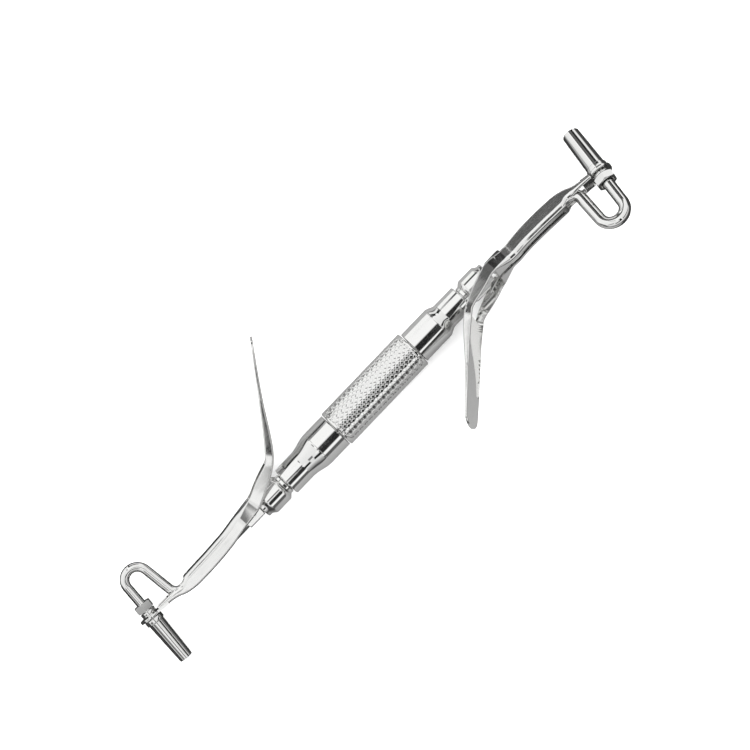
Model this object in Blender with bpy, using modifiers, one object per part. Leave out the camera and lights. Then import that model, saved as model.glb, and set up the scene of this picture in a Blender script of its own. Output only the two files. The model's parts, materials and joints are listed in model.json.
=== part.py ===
"""Double-ended lever amalgam carrier, in metres, +Z up, resting on its grip and on both barrel mouths.

Each working end is built in its own end frame: x runs outward along the handle, y points the way the
barrel points, and z is the lever's pivot axis. The two end frames face opposite ways and are rolled
about the handle until the barrel mouths are level with the underside of the grip.
"""
import math

import bmesh
import bpy
from mathutils import Matrix, Vector

MM = 0.001
COLLECTION = "amalgam_carrier"
CUTTERS = "cutters"

# Handle, all in millimetres. Distances along the handle are measured from the middle of the grip.
GRIP_RADIUS = 5.3
GRIP_HALF_LENGTH = 13.9
CORE_RADIUS = 2.4
CORE_HALF_LENGTH = 26.0
FIT_GAP = 0.3
FERRULE_RADIUS = 4.8
FERRULE_TIP_RADIUS = 3.84
FERRULE_START = 14.2
FERRULE_SHOULDER = 22.6
FERRULE_NECK = 25.2
COLLAR_NECK_RADIUS = 2.78
COLLAR_RADIUS = 3.68
COLLAR_STEP_RADIUS = 2.85
COLLAR_START = 1.15
COLLAR_END = 7.9
COLLAR_FRONT = 9.0
COLLAR_CHAMFER = 1.0
SOCKET_RADIUS = 1.6
SOCKET_DEPTH = 4.7

# Pivot, boss and rod.
PIVOT = (43.5, -0.75)
PIN_RADIUS = 0.7
PIN_HOLE_RADIUS = 0.95
BOSS_START = 41.45
BOSS_END = 46.4
BOSS_RADIUS = 2.0
BOSS_HALF_WIDTH = 1.5
BOSS_TOP = 1.6
TENON_RADIUS = 1.3
BEND_RADIUS = 3.0
SPRING_WIRE_RADIUS = 0.2
SPRING_COIL_RADIUS = 1.2
SPRING_COIL_START = -1.75
SPRING_COIL_PITCH = 0.6

# Lever sheet.
WALL = 0.55
STRAP_THICKNESS = 0.65
STRAP_START = 73.9
STRAP_HALF_WIDTH = 2.38
EYE_RADIUS = 3.25
BARREL_LEAN = math.radians(6.8)
LEVER_TRAVEL = math.radians(5.0)
PLATE_TIP = (11.6, -31.3)
PLATE_ROOT = (31.4, -5.25)
TIP_ROUND_LENGTH = 3.0
SLOT_START = 42.6
SLOT_END = 66.2
SLOT_HALF_WIDTH = 0.9

# The lever's run from the plate to the strap: distance out, height of the handle-side face,
# slope in degrees, depth of the folded sides and half-width.
LEVER_RUN = (
    (13.6, -28.7, 52.0, 0.66, 4.35),
    (17.5, -23.5, 53.0, 0.88, 4.6),
    (20.0, -20.1, 54.5, 1.0, 4.62),
    (22.5, -16.5, 55.8, 1.32, 4.62),
    (25.0, -12.7, 55.5, 1.72, 4.64),
    (27.5, -9.15, 53.0, 2.1, 4.68),
    (29.1, -7.25, 47.0, 2.2, 4.72),
    (30.2, -6.2, 42.5, 2.05, 4.68),
    (31.4, -5.25, 38.5, 2.3, 4.65),
    (33.0, -4.3, 33.0, 2.7, 4.65),
    (35.2, -3.15, 27.5, 3.1, 4.65),
    (37.5, -2.05, 21.0, 3.3, 4.65),
    (40.0, -0.95, 14.0, 3.4, 4.6),
    (42.0, -0.3, 6.0, 3.65, 4.3),
    (44.5, 0.1, 2.0, 3.9, 3.3),
    (46.5, 0.35, 0.0, 4.02, 2.55),
    (48.7, 0.7, 0.0, 4.12, 2.32),
    (52.5, 1.3, 0.0, 4.22, 2.3),
    (56.2, 1.62, 0.0, 4.35, 2.3),
    (61.2, 1.82, 0.0, 4.38, 2.3),
    (64.5, 1.82, 0.0, 4.32, 2.3),
    (66.5, 1.68, 0.0, 4.12, 2.3),
    (68.0, 1.42, 0.0, 3.3, 2.3),
    (69.5, 0.98, 0.0, 2.8, 2.3),
    (71.0, 0.3, 0.0, 2.15, 2.32),
    (72.6, -0.12, 0.0, 1.7, 2.33),
    (75.0, -0.45, 0.0, 1.38, 2.33),
    (76.7, -0.65, 0.0, 1.2, 2.33),
)
OUTER_SCALE_FROM = 46.75

# Inside of the folded sheet, from the plate to the strap: start, stop, wall left on the handle side,
# wall left on the finger side. The collar passes through the second stretch and the rod's bend
# through the fourth.
INSIDE_STRETCHES = (
    (17.2, 29.8, WALL, 0.0),
    (29.82, 41.5, 0.0, 0.0),
    (41.52, 67.0, 0.0, WALL),
    (67.02, 74.0, 0.0, 0.0),
    (74.02, 77.2, 0.35, 0.0),
)
OPENING_MARGIN = 3.0

# What differs between the two ends.
ENDS = {
    "large": {
        "turn": 0.0,
        "girth": 0.96,
        "ferrule_end": 31.5,
        "plate_turn": math.radians(2.5),
        "plate_stretch": 0.965,
        "closed": math.radians(4.5),
        "reach": 0.95,
        "rod_radius": 1.55,
        "inner_limb": 70.1,
        "limb_lean": math.radians(-3.3),
        "loop_depth": 13.4,
        "eye": 77.85,
        "extra_width": 0.22,
        "extra_depth": 0.25,
        "barrel_length": 14.1,
        "barrel_base": 2.55,
        "barrel_mouth": 2.3,
        "flange_radius": 2.8,
        "flange_height": 1.25,
        "washer_radius": 2.25,
        "washer_height": 0.6,
        "nut_across": 5.0,
        "nut_height": 2.0,
    },
    "small": {
        "turn": math.pi,
        "girth": 1.035,
        "ferrule_end": 32.1,
        "plate_turn": 0.0,
        "plate_stretch": 1.0,
        "closed": 0.0,
        "reach": 1.0,
        "rod_radius": 1.25,
        "inner_limb": 71.6,
        "limb_lean": math.radians(4.4),
        "loop_depth": 11.95,
        "eye": 79.6,
        "extra_width": 0.0,
        "extra_depth": 0.0,
        "barrel_length": 13.7,
        "barrel_base": 2.15,
        "barrel_mouth": 1.8,
        "flange_radius": 2.5,
        "flange_height": 1.25,
        "washer_radius": 2.05,
        "washer_height": 1.0,
        "nut_across": 4.3,
        "nut_height": 2.0,
    },
}
EYE_HEIGHT = -1.25
LIMB_TAIL_OUT = 0.7

ROUND_SEGMENTS = 28
SMALL_SEGMENTS = 16


def clear_scene():
    for obj in list(bpy.data.objects):
        bpy.data.objects.remove(obj, do_unlink=True)
    for name in (COLLECTION, CUTTERS):
        if name in bpy.data.collections:
            bpy.data.collections.remove(bpy.data.collections[name])
        collection = bpy.data.collections.new(name)
        bpy.context.scene.collection.children.link(collection)


def material(name, colour, roughness):
    made = bpy.data.materials.new(name)
    made.use_nodes = True
    shader = made.node_tree.nodes["Principled BSDF"]
    shader.inputs["Base Color"].default_value = (*colour, 1.0)
    shader.inputs["Roughness"].default_value = roughness
    shader.inputs["Metallic"].default_value = 1.0
    return made


def add_object(name, mesh, parent=None, look=None, is_cutter=False):
    """Link a mesh under a parent, as a part or as a hidden cutter."""
    obj = bpy.data.objects.new(name, mesh)
    bpy.data.collections[CUTTERS if is_cutter else COLLECTION].objects.link(obj)
    obj.parent = parent
    if look:
        mesh.materials.append(look)
    if is_cutter:
        obj.hide_render = True
        obj.display_type = "WIRE"
    return obj


def add_empty(name, parent=None, location=(0.0, 0.0, 0.0), rotation=None):
    empty = bpy.data.objects.new(name, None)
    bpy.data.collections[COLLECTION].objects.link(empty)
    empty.parent = parent
    empty.location = location
    if rotation:
        empty.rotation_euler = rotation
    return empty


def boolean(target, tool, operation="DIFFERENCE"):
    modifier = target.modifiers.new(operation.lower() + "_" + tool.name, "BOOLEAN")
    modifier.operation = operation
    modifier.solver = "EXACT"
    modifier.object = tool


def turned(name, profile, parent, look=None, closed=False, segments=ROUND_SEGMENTS, is_cutter=False):
    """Turn a profile of (radius, height) in millimetres about local Z; it runs down the outer side."""
    mesh = bpy.data.meshes.new(name)
    points = [(radius * MM, 0.0, height * MM) for radius, height in profile]
    edges = [(i, i + 1) for i in range(len(points) - 1)]
    if closed:
        edges.append((len(points) - 1, 0))
    mesh.from_pydata(points, edges, [])
    obj = add_object(name, mesh, parent, look, is_cutter)
    screw = obj.modifiers.new("turn", "SCREW")
    screw.axis = "Z"
    screw.steps = segments
    screw.render_steps = segments
    screw.use_merge_vertices = True
    screw.merge_threshold = 1e-6
    screw.use_smooth_shade = True
    return obj


def along_x(obj):
    """Lay a turned piece along the end frame's x axis."""
    obj.rotation_euler = (0.0, math.pi / 2.0, 0.0)
    return obj


def loft(name, rings, parent, look=None, is_cutter=False):
    """Join rings of equal point counts into one closed solid with flat ends."""
    mesh = bpy.data.meshes.new(name)
    shape = bmesh.new()
    rows = [[shape.verts.new(Vector(point) * MM) for point in ring] for ring in rings]
    count = len(rows[0])
    for first, second in zip(rows, rows[1:]):
        for i in range(count):
            k = (i + 1) % count
            shape.faces.new((first[i], first[k], second[k], second[i]))
    shape.faces.new(list(reversed(rows[0])))
    shape.faces.new(rows[-1])
    bmesh.ops.recalc_face_normals(shape, faces=shape.faces)
    shape.to_mesh(mesh)
    shape.free()
    return add_object(name, mesh, parent, look, is_cutter)


def cylinder(name, radius, start, end, parent, look=None, segments=ROUND_SEGMENTS, is_cutter=False):
    """A cylinder between two points, sizes in millimetres."""
    start = Vector(start)
    end = Vector(end)
    mesh = bpy.data.meshes.new(name)
    shape = bmesh.new()
    length = (end - start).length
    bmesh.ops.create_cone(
        shape, cap_ends=True, segments=segments, radius1=radius * MM, radius2=radius * MM, depth=length * MM
    )
    shape.to_mesh(mesh)
    shape.free()
    obj = add_object(name, mesh, parent, look, is_cutter)
    obj.location = (start + end) * (0.5 * MM)
    obj.rotation_mode = "QUATERNION"
    obj.rotation_quaternion = (end - start).to_track_quat("Z", "X")
    return obj


def box_cutter(name, low, high, parent):
    mesh = bpy.data.meshes.new(name)
    shape = bmesh.new()
    bmesh.ops.create_cube(shape, size=1.0)
    low = Vector(low) * MM
    high = Vector(high) * MM
    bmesh.ops.scale(shape, vec=high - low, verts=shape.verts)
    bmesh.ops.translate(shape, vec=(low + high) * 0.5, verts=shape.verts)
    shape.to_mesh(mesh)
    shape.free()
    return add_object(name, mesh, parent, is_cutter=True)


def wire(name, points, radius, parent, look=None, resolution=2, as_mesh=False, is_cutter=False):
    """A round wire through points in millimetres, capped; turned into a welded mesh when asked."""
    curve = bpy.data.curves.new(name, "CURVE")
    curve.dimensions = "3D"
    curve.bevel_depth = radius * MM
    curve.bevel_resolution = resolution
    curve.use_fill_caps = True
    spline = curve.splines.new("POLY")
    spline.points.add(len(points) - 1)
    for target, point in zip(spline.points, points):
        target.co = (*(Vector(point) * MM), 1.0)
    obj = add_object(name, curve, parent, look, is_cutter)
    if not as_mesh:
        return obj
    bpy.context.view_layer.update()
    graph = bpy.context.evaluated_depsgraph_get()
    mesh = bpy.data.meshes.new_from_object(obj.evaluated_get(graph))
    shape = bmesh.new()
    shape.from_mesh(mesh)
    bmesh.ops.remove_doubles(shape, verts=shape.verts, dist=1e-6)
    bmesh.ops.recalc_face_normals(shape, faces=shape.faces)
    shape.to_mesh(mesh)
    shape.free()
    bpy.data.objects.remove(obj, do_unlink=True)
    return add_object(name, mesh, parent, None, is_cutter)


def flat_outline(name, outline, thickness, parent, is_cutter=True):
    """A flat outline in local x and y, thickened both ways along local z, as a welded mesh."""
    curve = bpy.data.curves.new(name, "CURVE")
    curve.dimensions = "2D"
    curve.fill_mode = "BOTH"
    curve.extrude = 0.5 * thickness * MM
    spline = curve.splines.new("POLY")
    spline.points.add(len(outline) - 1)
    for target, (x, y) in zip(spline.points, outline):
        target.co = (x * MM, y * MM, 0.0, 1.0)
    spline.use_cyclic_u = True
    obj = add_object(name, curve, parent, None, is_cutter)
    bpy.context.view_layer.update()
    graph = bpy.context.evaluated_depsgraph_get()
    mesh = bpy.data.meshes.new_from_object(obj.evaluated_get(graph))
    shape = bmesh.new()
    shape.from_mesh(mesh)
    bmesh.ops.remove_doubles(shape, verts=shape.verts, dist=1e-6)
    bmesh.ops.recalc_face_normals(shape, faces=shape.faces)
    shape.to_mesh(mesh)
    shape.free()
    bpy.data.objects.remove(obj, do_unlink=True)
    return add_object(name, mesh, parent, None, is_cutter)


def arc(centre, radius, start, end, count):
    """Points on an arc in the x-y plane, angles in degrees."""
    points = []
    for i in range(count + 1):
        angle = math.radians(start + (end - start) * i / count)
        points.append((centre[0] + radius * math.cos(angle), centre[1] + radius * math.sin(angle)))
    return points


def rest_point(end, point):
    """Turn a point of the open lever frame to where this end's lever rests."""
    angle = -end["closed"]
    dx = point[0] - PIVOT[0]
    dy = point[1] - PIVOT[1]
    x = PIVOT[0] + dx * math.cos(angle) - dy * math.sin(angle)
    y = PIVOT[1] + dx * math.sin(angle) + dy * math.cos(angle)
    return (x, y)


def barrel_line(end):
    """The eye's centre and the unit vector towards the barrel's mouth, in the open lever frame."""
    return Vector((end["eye"], EYE_HEIGHT, 0.0)), Vector((math.sin(BARREL_LEAN), math.cos(BARREL_LEAN), 0.0))


def resting_roll(end):
    """Roll about the handle that puts the barrel's mouth level with the underside of the grip."""
    eye, toward_mouth = barrel_line(end)
    centre = eye + toward_mouth * end["barrel_length"]
    height = rest_point(end, centre)[1]
    lean = BARREL_LEAN + end["closed"]
    roll = 0.3
    for _ in range(30):
        reach = math.hypot(math.cos(roll), math.sin(lean) * math.sin(roll)) * end["barrel_mouth"]
        roll = math.asin((GRIP_RADIUS - reach) / height)
    return roll


def make_handle(root, looks):
    """Grip sleeve, core and the two ferrules that hold them together."""
    bore = CORE_RADIUS + FIT_GAP
    half = GRIP_HALF_LENGTH
    chamfer = 0.25
    sleeve = (
        (GRIP_RADIUS - chamfer, half),
        (GRIP_RADIUS, half - chamfer),
        (GRIP_RADIUS, chamfer - half),
        (GRIP_RADIUS - chamfer, -half),
        (bore, -half),
        (bore, half),
    )
    along_x(turned("grip_sleeve", sleeve, root, looks["knurled"], closed=True))
    end = CORE_HALF_LENGTH
    core = (
        (0.0, end),
        (CORE_RADIUS - chamfer, end),
        (CORE_RADIUS, end - chamfer),
        (CORE_RADIUS, chamfer - end),
        (CORE_RADIUS - chamfer, -end),
        (0.0, -end),
    )
    along_x(turned("handle_core", core, root, looks["steel"], segments=SMALL_SEGMENTS))


def ferrule_profile(end):
    """Outer side from the tip down to the grip, with a cosine ogee, then the bore."""
    bore = CORE_RADIUS + FIT_GAP
    edge = 0.35
    top = end["ferrule_end"]
    tip = FERRULE_TIP_RADIUS * end["girth"]
    base = FERRULE_RADIUS * end["girth"]
    profile = [(bore, top), (tip - edge, top), (tip - 0.3 * edge, top - 0.3 * edge), (tip, top - edge)]
    steps = 7
    for i in range(steps + 1):
        share = i / steps
        rise = 0.5 - 0.5 * math.cos(math.pi * share)
        profile.append((tip + (base - tip) * rise, FERRULE_NECK + (FERRULE_SHOULDER - FERRULE_NECK) * share))
    profile += [(base, FERRULE_START + 0.12), (base - 0.12, FERRULE_START), (bore, FERRULE_START)]
    return profile


def collar_front(end):
    return end["ferrule_end"] + COLLAR_FRONT


def collar_profile(end):
    """Blind socket, step, chamfered collar, neck and the stud that enters the ferrule."""
    radius = COLLAR_RADIUS * end["girth"]
    step = COLLAR_STEP_RADIUS * end["girth"]
    neck = COLLAR_NECK_RADIUS * end["girth"]
    front = collar_front(end)
    low = end["ferrule_end"] + COLLAR_START
    high = end["ferrule_end"] + COLLAR_END
    shoulder = radius - 0.3 * (radius - step)
    return [
        (0.0, front - SOCKET_DEPTH),
        (SOCKET_RADIUS, front - SOCKET_DEPTH),
        (SOCKET_RADIUS, front),
        (step - 0.15, front),
        (step, front - 0.15),
        (step, high),
        (shoulder, high - 0.5 * COLLAR_CHAMFER),
        (radius, high - COLLAR_CHAMFER),
        (radius, low + COLLAR_CHAMFER),
        (shoulder, low + 0.5 * COLLAR_CHAMFER),
        (step + 0.1, low),
        (neck, low),
        (neck, end["ferrule_end"] + FIT_GAP),
        (CORE_RADIUS, end["ferrule_end"] + FIT_GAP),
        (CORE_RADIUS, CORE_HALF_LENGTH + FIT_GAP),
        (0.0, CORE_HALF_LENGTH + FIT_GAP),
    ]


def rod_path(end):
    """Centre line of the bent rod in the open lever frame, from the boss to the barrel side."""
    eye, toward_mouth = barrel_line(end)
    lean = end["limb_lean"]
    bend_x = end["inner_limb"] - BEND_RADIUS
    points = [(PIVOT[0] + 1.4, 0.0), (55.0, 0.0)]
    points += arc((bend_x, -BEND_RADIUS), BEND_RADIUS, 90.0, math.degrees(lean), 6)
    foot = Vector(points[-1])
    limb = Vector((math.sin(lean), -math.cos(lean)))
    bottom = EYE_HEIGHT - end["loop_depth"]
    loop_radius = 3.5
    for _ in range(30):
        centre_y = bottom + loop_radius
        inner_x = foot.x + limb.x * (centre_y - foot.y) / limb.y
        outer_x = eye.x + (centre_y - eye.y) * math.tan(BARREL_LEAN)
        gap = (outer_x - inner_x) * math.cos(0.5 * (BARREL_LEAN - lean))
        loop_radius = gap / (math.cos(0.5 * (BARREL_LEAN + lean)) * 2.0)
    start = 180.0 + math.degrees(lean)
    stop = 360.0 - math.degrees(BARREL_LEAN)
    centre = (0.5 * (inner_x + outer_x), centre_y)
    points += arc(centre, loop_radius, start, stop, 16)
    tail = -(end["stack"] + LIMB_TAIL_OUT + FIT_GAP)
    last = eye + toward_mouth * tail
    points.append((last[0], last[1]))
    return points


def make_rod(name, end, frame, look):
    """Tenon, boss and bent rod as one forged piece, with flats and a pin hole at the pivot."""
    profile = [
        (0.0, BOSS_END),
        (BOSS_RADIUS - 0.6, BOSS_END),
        (BOSS_RADIUS, BOSS_END - 0.6),
        (BOSS_RADIUS, BOSS_START + 0.2),
        (BOSS_RADIUS - 0.2, BOSS_START),
        (TENON_RADIUS, BOSS_START),
        (TENON_RADIUS, collar_front(end) - SOCKET_DEPTH + FIT_GAP),
        (0.0, collar_front(end) - SOCKET_DEPTH + FIT_GAP),
    ]
    boss = along_x(turned("plunger_rod_" + name, profile, frame, look, segments=20))
    for side, sign in (("near", 1.0), ("far", -1.0)):
        inner = sign * BOSS_HALF_WIDTH
        outer = sign * 2.0 * BOSS_RADIUS
        low = (BOSS_START - 0.1, -4.0, min(inner, outer))
        high = (BOSS_END + 0.1, 4.0, max(inner, outer))
        boolean(boss, box_cutter("flat_" + side + "_" + name, low, high, frame))
    low = (BOSS_START - 0.1, BOSS_TOP, -4.0)
    high = (BOSS_END + 0.1, 2.0 * BOSS_RADIUS, 4.0)
    boolean(boss, box_cutter("flat_top_" + name, low, high, frame))
    path = [(*rest_point(end, point), 0.0) for point in rod_path(end)]
    bent = wire("bent_rod_" + name, path, end["rod_radius"], frame, resolution=3, as_mesh=True, is_cutter=True)
    boolean(boss, bent, "UNION")
    ends = [(*PIVOT, -4.0), (*PIVOT, 4.0)]
    hole = cylinder("rod_pin_hole_" + name, PIN_HOLE_RADIUS, *ends, frame, segments=SMALL_SEGMENTS, is_cutter=True)
    boolean(boss, hole)


def spring_path():
    """One turn about the pivot pin with a leg outward along the boss and one under the collar."""
    bottom = PIVOT[1] - SPRING_COIL_RADIUS
    points = [(PIVOT[0] + 1.5, bottom, SPRING_COIL_START), (PIVOT[0] + 0.7, bottom, SPRING_COIL_START)]
    steps = 14
    for i in range(steps + 1):
        angle = math.radians(-90.0 - 360.0 * i / steps)
        x = PIVOT[0] + SPRING_COIL_RADIUS * math.cos(angle)
        y = PIVOT[1] + SPRING_COIL_RADIUS * math.sin(angle)
        points.append((x, y, SPRING_COIL_START - SPRING_COIL_PITCH * i / steps))
    depth = SPRING_COIL_START - SPRING_COIL_PITCH
    points += [(42.4, -2.05, depth), (41.2, -2.35, depth - 0.05), (38.4, -3.2, depth - 0.1), (37.4, -3.6, depth - 0.1)]
    return points


def smooth_stations(samples):
    """Monotone cubic interpolation of LEVER_RUN, with extra stations between its rows."""
    rows = LEVER_RUN
    count = len(rows)
    slopes = []
    for i in range(count):
        if i in (0, count - 1):
            slopes.append([0.0] * 5)
            continue
        before = [(b - a) / (rows[i][0] - rows[i - 1][0]) for a, b in zip(rows[i - 1], rows[i])]
        after = [(b - a) / (rows[i + 1][0] - rows[i][0]) for a, b in zip(rows[i], rows[i + 1])]
        slopes.append([2.0 * p * q / (p + q) if p * q > 0.0 else 0.0 for p, q in zip(before, after)])
    for column in range(5):
        step = rows[1][0] - rows[0][0]
        slopes[0][column] = (rows[1][column] - rows[0][column]) / step
        step = rows[-1][0] - rows[-2][0]
        slopes[-1][column] = (rows[-1][column] - rows[-2][column]) / step
    stations = []
    for i in range(count - 1):
        step = rows[i + 1][0] - rows[i][0]
        for j in range(samples):
            t = j / samples
            station = []
            for column in range(5):
                a = rows[i][column]
                b = rows[i + 1][column]
                curve = (2 * t**3 - 3 * t**2 + 1) * a + (3 * t**2 - 2 * t**3) * b
                bend = (t**3 - 2 * t**2 + t) * slopes[i][column] + (t**3 - t**2) * slopes[i + 1][column]
                station.append(curve + bend * step)
            stations.append(tuple(station))
    stations.append(rows[-1])
    return stations


def tip_stations():
    """Round end of the finger plate, from the tip back to the first row of LEVER_RUN."""
    first = LEVER_RUN[0]
    back = (first[0] - PLATE_TIP[0], first[1] - PLATE_TIP[1])
    stations = []
    for angle in (18.0, 35.0, 55.0, 75.0):
        share = 1.0 - math.cos(math.radians(angle))
        x = PLATE_TIP[0] + back[0] * share
        y = PLATE_TIP[1] + back[1] * share
        width = first[4] * math.sin(math.radians(angle))
        stations.append((x, y, first[2], first[3], width))
    return stations


def outward(end, station):
    """Fit a station to this end: turn its plate about the root, and scale its arm beyond the boss."""
    x, y, slope, depth, width = station
    if x < PLATE_ROOT[0]:
        dx = (x - PLATE_ROOT[0]) * end["plate_stretch"]
        dy = (y - PLATE_ROOT[1]) * end["plate_stretch"]
        turn = end["plate_turn"]
        x = PLATE_ROOT[0] + dx * math.cos(turn) + dy * math.sin(turn)
        y = PLATE_ROOT[1] + dy * math.cos(turn) - dx * math.sin(turn)
        slope -= math.degrees(turn)
    if x > OUTER_SCALE_FROM:
        x = OUTER_SCALE_FROM + (x - OUTER_SCALE_FROM) * end["reach"]
    if x > BOSS_END:
        share = min(1.0, (x - BOSS_END) / 2.0)
        width += end["extra_width"] * share
        depth += end["extra_depth"] * share * max(0.0, min(1.0, (72.0 - x) / 4.0))
    return x, y, slope, depth, width


def section(station, half_width, top, bottom, corner):
    """Rounded rectangle across the lever: top and bottom are depths below the handle-side face."""
    x, y, slope, _, _ = station
    angle = math.radians(slope)
    down = Vector((math.sin(angle), -math.cos(angle), 0.0))
    origin = Vector((x, y, 0.0))
    corners = ((1.0, bottom, 1.0), (1.0, top, -1.0), (-1.0, top, -1.0), (-1.0, bottom, 1.0))
    turns = ((90.0, 0.0), (0.0, -90.0), (-90.0, -180.0), (180.0, 90.0))
    ring = []
    for (side, depth, sign), (first, last) in zip(corners, turns):
        steps = 2 if corner > 0.0 else 0
        for i in range(steps + 1):
            turn = math.radians(first + (last - first) * (i / steps if steps else 0.0))
            across = side * (half_width - corner) + corner * math.cos(turn)
            below = depth - sign * corner + corner * math.sin(turn)
            ring.append(origin + down * below + Vector((0.0, 0.0, across)))
    return ring


def run_between(stations, start, stop):
    """Stations from start to stop, with the two limits put in by straight interpolation."""
    chosen = []
    for first, second in zip(stations, stations[1:]):
        for limit in (start, stop):
            if first[0] < limit < second[0]:
                share = (limit - first[0]) / (second[0] - first[0])
                chosen.append(tuple(a + (b - a) * share for a, b in zip(first, second)))
        if start <= second[0] <= stop:
            chosen.append(second)
    return sorted(set(chosen))


def inside_cutter(name, end, stations, parent):
    """Cutter for the inside of the folded sheet, stepping where a face of the sheet starts or stops."""
    rings = []
    for start, stop, top_wall, bottom_wall in INSIDE_STRETCHES:
        for station in run_between(stations, start, stop):
            placed = outward(end, station)
            top = top_wall or -OPENING_MARGIN
            bottom = placed[3] - bottom_wall if bottom_wall else placed[3] + OPENING_MARGIN
            rings.append(section(placed, placed[4] - WALL, top, bottom, 0.0))
    return loft("inside_" + name, rings, parent, is_cutter=True)


def strap_outline(end):
    """Flat strap that widens into the round eye, in strap coordinates with the eye at the origin."""
    reach = end["eye"] - (OUTER_SCALE_FROM + (STRAP_START - OUTER_SCALE_FROM) * end["reach"])
    half = STRAP_HALF_WIDTH + 0.5 * end["extra_width"]
    open_angle = 180.0 - math.degrees(math.asin(half / EYE_RADIUS))
    outline = [(-reach, -half)]
    outline += arc((0.0, 0.0), EYE_RADIUS, -open_angle, open_angle, 22)
    outline.append((-reach, half))
    return outline


def make_lever(name, end, frame, look):
    """One folded sheet: finger plate, ears, slotted channel arm, side rails and strap with its eye."""
    stations = smooth_stations(1)
    rings = []
    for station in tip_stations() + stations:
        placed = outward(end, station)
        corner = min(0.45, 0.45 * station[3])
        rings.append(section(placed, placed[4], 0.0, placed[3], corner))
    lever = loft("lever_" + name, rings, frame, look)
    slot = arc((SLOT_START, 0.0), SLOT_HALF_WIDTH, 90.0, 270.0, 6)
    far = OUTER_SCALE_FROM + (SLOT_END - OUTER_SCALE_FROM) * end["reach"]
    slot += arc((far - SLOT_HALF_WIDTH, 0.0), SLOT_HALF_WIDTH, -90.0, 90.0, 6)
    slot_cutter = flat_outline("web_slot_" + name, slot, 3.0, frame)
    slot_cutter.rotation_euler = (math.pi / 2.0, 0.0, 0.0)
    slot_cutter.location = (0.0, -3.4 * MM, 0.0)
    boolean(lever, slot_cutter)
    between = smooth_stations(2)[1::2]
    last = LEVER_RUN[-1]
    between.append((last[0] + 1.5, *last[1:]))
    boolean(lever, inside_cutter(name, end, between, frame))
    strap = flat_outline("strap_" + name, strap_outline(end), STRAP_THICKNESS, frame)
    strap.rotation_euler = (math.pi / 2.0, 0.0, -BARREL_LEAN)
    strap.rotation_mode = "XYZ"
    strap.location = barrel_line(end)[0] * MM
    boolean(lever, strap, "UNION")
    eye, toward_mouth = barrel_line(end)
    ends = [eye - toward_mouth * 3.0, eye + toward_mouth * 3.0]
    bore = end["rod_radius"] + FIT_GAP
    boolean(lever, cylinder("eye_hole_" + name, bore, *ends, frame, is_cutter=True))
    ends = [(*PIVOT, -6.0), (*PIVOT, 6.0)]
    hole = cylinder("ear_pin_hole_" + name, PIN_HOLE_RADIUS, *ends, frame, segments=SMALL_SEGMENTS, is_cutter=True)
    boolean(lever, hole)


def along_barrel(obj, end):
    """Stand a turned piece on the barrel line with its height zero at the eye."""
    obj.rotation_mode = "QUATERNION"
    obj.rotation_quaternion = barrel_line(end)[1].to_track_quat("Z", "X")
    obj.location = barrel_line(end)[0] * MM
    return obj


def make_barrel_group(name, end, frame, looks):
    """Barrel with its flange, washer and hexagon nut, stacked on the strap's eye."""
    bore = end["rod_radius"] + FIT_GAP
    base = 0.5 * STRAP_THICKNESS + FIT_GAP
    top = end["barrel_length"]
    shoulder = base + end["flange_height"]
    profile = [
        (bore, top),
        (end["barrel_mouth"] - 0.1, top),
        (end["barrel_mouth"], top - 0.1),
        (end["barrel_base"], shoulder),
        (end["flange_radius"], shoulder),
        (end["flange_radius"], base),
        (bore, base),
    ]
    along_barrel(turned("barrel_" + name, profile, frame, looks["polished"], closed=True), end)
    low = -base - end["washer_height"]
    washer = [(bore, -base), (end["washer_radius"], -base), (end["washer_radius"], low), (bore, low)]
    along_barrel(turned("barrel_washer_" + name, washer, frame, looks["polished"], closed=True), end)
    nut_top = low - FIT_GAP
    nut_low = nut_top - end["nut_height"]
    corner = 0.5 * end["nut_across"] / math.cos(math.pi / 6.0)
    eye, toward_mouth = barrel_line(end)
    ends = [eye + toward_mouth * nut_low, eye + toward_mouth * nut_top]
    nut = cylinder("barrel_nut_" + name, corner, *ends, frame, looks["polished"], segments=6)
    nut_bore = end["rod_radius"] + 0.5
    ends = [eye + toward_mouth * (nut_low - 1.0), eye + toward_mouth * (nut_top + 1.0)]
    boolean(nut, cylinder("nut_bore_" + name, nut_bore, *ends, frame, is_cutter=True))


def stack_height(end):
    """Distance from the strap's middle to the free face of the nut."""
    return 0.5 * STRAP_THICKNESS + 2.0 * FIT_GAP + end["washer_height"] + end["nut_height"]


def plunger_stroke(end):
    """How far the barrel passes over the plunger when the lever is pressed home."""
    eye, toward_mouth = barrel_line(end)
    arm = eye - Vector((*PIVOT, 0.0))
    return abs(arm.cross(toward_mouth).z) * math.sin(LEVER_TRAVEL)


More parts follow.
